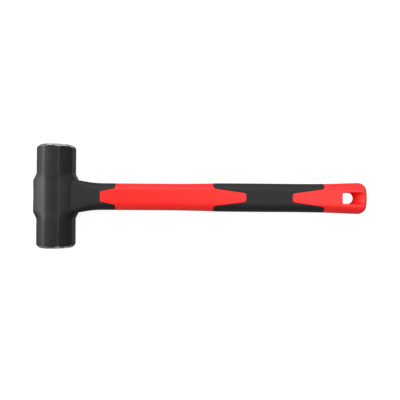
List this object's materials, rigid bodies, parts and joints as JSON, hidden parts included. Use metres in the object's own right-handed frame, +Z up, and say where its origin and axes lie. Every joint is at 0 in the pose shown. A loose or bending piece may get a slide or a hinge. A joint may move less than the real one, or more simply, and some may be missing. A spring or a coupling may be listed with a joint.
{
  "type": "sledge hammer",
  "caption": "Short double-faced sledge hammer: black eight-sided head with bare-steel striking faces, red jacketed glass-fibre handle with black rubber collar and grip, hang hole in the butt.",
  "frame": {"origin": "centre of the head's lower flat, directly below the middle of the eye, on the surface the hammer lies on", "axes": "+X along the handle from the head to the butt, +Y along the head from one striking face to the other, +Z up through the thickness of the hammer as it lies on its side"},
  "size_m": [0.3992, 0.1256, 0.043],
  "materials": {
    "black_paint": "satin",
    "bare_steel": "satin",
    "potting_resin": "satin",
    "glass_fibre": "matte",
    "red_plastic": "satin",
    "black_rubber": "matte"
  },
  "bodies": {
    "root": {"hammer_head": "black_paint", "eye_epoxy": "potting_resin", "handle_core": "glass_fibre", "handle_jacket": "red_plastic", "neck_collar": "black_rubber", "grip_sleeve": "black_rubber"}
  },
  "joints": []
}
